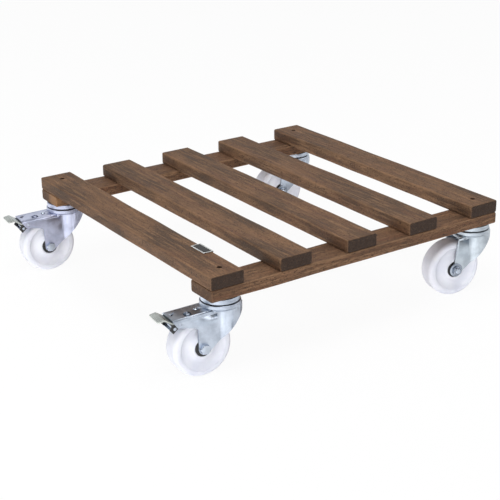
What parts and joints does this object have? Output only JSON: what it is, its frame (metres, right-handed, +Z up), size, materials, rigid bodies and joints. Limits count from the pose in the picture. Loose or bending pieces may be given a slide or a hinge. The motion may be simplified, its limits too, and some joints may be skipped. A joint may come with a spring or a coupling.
{
  "type": "plant pot caddy",
  "caption": "Slatted timber platform on swivel casters that carries a heavy plant pot; the casters at one end have foot brakes.",
  "frame": {"origin": "centre of the deck's top face, where the pot stands", "axes": "+X along the battens, away from the braked end; +Y along the slats; +Z up"},
  "size_m": [0.5758, 0.5066, 0.1451],
  "materials": {
    "slat_wood": "weathered brown stain, matt",
    "batten_wood": "weathered brown stain, matt",
    "pressed_zinc": "bright zinc plate on pressed steel",
    "pedal_zinc": "dull zinc plate",
    "bright_zinc": "bright zinc plate",
    "ball_steel": "polished, lightly greased",
    "yellow_zinc": "yellow zinc plate",
    "white_nylon": "satin, slightly translucent nylon",
    "black_plastic": "satin",
    "clip_metal": "polished sheet",
    "label_panel": "plain dark panel with no mark"
  },
  "bodies": {
    "deck": {"slat_1": "slat_wood", "slat_2": "slat_wood", "slat_3": "slat_wood", "slat_4": "slat_wood", "slat_5": "slat_wood", "batten_front": "batten_wood", "batten_back": "batten_wood", "under_screws": "yellow_zinc", "caster_bolts": "bright_zinc", "king_rivets": "bright_zinc", "label_clip": "clip_metal", "label_insert": "label_panel", "top_race_front_left": "pressed_zinc", "lower_race_front_left": "pressed_zinc", "top_race_rear_left": "pressed_zinc", "lower_race_rear_left": "pressed_zinc", "top_race_front_right": "pressed_zinc", "lower_race_front_right": "pressed_zinc", "top_race_rear_right": "pressed_zinc", "lower_race_rear_right": "pressed_zinc"},
    "front_left_caster": {"fork_front_left": "pressed_zinc", "head_balls_front_left": "ball_steel", "hub_sleeve_front_left": "bright_zinc", "hub_caps_front_left": "black_plastic", "axle_bolt_front_left": "bright_zinc", "axle_nut_front_left": "bright_zinc", "brake_pivot_front_left": "bright_zinc", "leaf_rivet_front_left": "bright_zinc"},
    "front_left_wheel": {"wheel_front_left": "white_nylon"},
    "front_left_pedal": {"brake_pedal_front_left": "pedal_zinc", "brake_cam_pin_front_left": "bright_zinc"},
    "front_left_leaf": {"brake_leaf_front_left": "pressed_zinc"},
    "rear_left_caster": {"fork_rear_left": "pressed_zinc", "head_balls_rear_left": "ball_steel", "hub_sleeve_rear_left": "bright_zinc", "hub_caps_rear_left": "black_plastic", "axle_bolt_rear_left": "bright_zinc", "axle_nut_rear_left": "bright_zinc", "brake_pivot_rear_left": "bright_zinc", "leaf_rivet_rear_left": "bright_zinc"},
    "rear_left_wheel": {"wheel_rear_left": "white_nylon"},
    "rear_left_pedal": {"brake_pedal_rear_left": "pedal_zinc", "brake_cam_pin_rear_left": "bright_zinc"},
    "rear_left_leaf": {"brake_leaf_rear_left": "pressed_zinc"},
    "front_right_caster": {"fork_front_right": "pressed_zinc", "head_balls_front_right": "ball_steel", "hub_sleeve_front_right": "bright_zinc", "hub_caps_front_right": "black_plastic", "axle_bolt_front_right": "bright_zinc", "axle_nut_front_right": "bright_zinc"},
    "front_right_wheel": {"wheel_front_right": "white_nylon"},
    "rear_right_caster": {"fork_rear_right": "pressed_zinc", "head_balls_rear_right": "ball_steel", "hub_sleeve_rear_right": "bright_zinc", "hub_caps_rear_right": "black_plastic", "axle_bolt_rear_right": "bright_zinc", "axle_nut_rear_right": "bright_zinc"},
    "rear_right_wheel": {"wheel_rear_right": "white_nylon"}
  },
  "joints": [
    {"name": "swivel_front_left", "type": "hinge", "parent": "deck", "child": "front_left_caster", "pos_m": [-0.221, -0.2245, -0.046], "axis": [0, 0, 1], "continuous": true},
    {"name": "spin_front_left", "type": "hinge", "parent": "front_left_caster", "child": "front_left_wheel", "pos_m": [-0.25435, -0.22129, -0.1015], "axis": [-0.0958, -0.9954, 0], "continuous": true},
    {"name": "pedal_front_left", "type": "hinge", "parent": "front_left_caster", "child": "front_left_pedal", "pos_m": [-0.2867, -0.21817, -0.0594], "axis": [-0.0958, -0.9954, 0], "range_deg": [0, 18]},
    {"name": "leaf_front_left", "type": "hinge", "parent": "front_left_caster", "child": "front_left_leaf", "pos_m": [-0.24788, -0.22191, -0.05405], "axis": [-0.0958, -0.9954, 0], "range_deg": [0, 3.06]},
    {"name": "swivel_rear_left", "type": "hinge", "parent": "deck", "child": "rear_left_caster", "pos_m": [-0.225, 0.2245, -0.046], "axis": [0, 0, 1], "continuous": true},
    {"name": "spin_rear_left", "type": "hinge", "parent": "rear_left_caster", "child": "rear_left_wheel", "pos_m": [-0.25832, 0.228, -0.1015], "axis": [-0.1045, -0.9945, 0], "continuous": true},
    {"name": "pedal_rear_left", "type": "hinge", "parent": "rear_left_caster", "child": "rear_left_pedal", "pos_m": [-0.29064, 0.2314, -0.0594], "axis": [-0.1045, -0.9945, 0], "range_deg": [0, 18]},
    {"name": "leaf_rear_left", "type": "hinge", "parent": "rear_left_caster", "child": "rear_left_leaf", "pos_m": [-0.25185, 0.22732, -0.05405], "axis": [-0.1045, -0.9945, 0], "range_deg": [0, 3.06]},
    {"name": "swivel_front_right", "type": "hinge", "parent": "deck", "child": "front_right_caster", "pos_m": [0.2245, -0.2245, -0.046], "axis": [0, 0, 1], "continuous": true},
    {"name": "spin_front_right", "type": "hinge", "parent": "front_right_caster", "child": "front_right_wheel", "pos_m": [0.19173, -0.21754, -0.1015], "axis": [-0.2079, -0.9781, 0], "continuous": true},
    {"name": "swivel_rear_right", "type": "hinge", "parent": "deck", "child": "rear_right_caster", "pos_m": [0.2235, 0.2245, -0.046], "axis": [0, 0, 1], "continuous": true},
    {"name": "spin_rear_right", "type": "hinge", "parent": "rear_right_caster", "child": "rear_right_wheel", "pos_m": [0.19018, 0.228, -0.1015], "axis": [-0.1045, -0.9945, 0], "continuous": true}
  ],
  "couplings": [
    {"joint": "leaf_front_left", "follows": "pedal_front_left", "ratio": 0.17},
    {"joint": "leaf_rear_left", "follows": "pedal_rear_left", "ratio": 0.17}
  ]
}
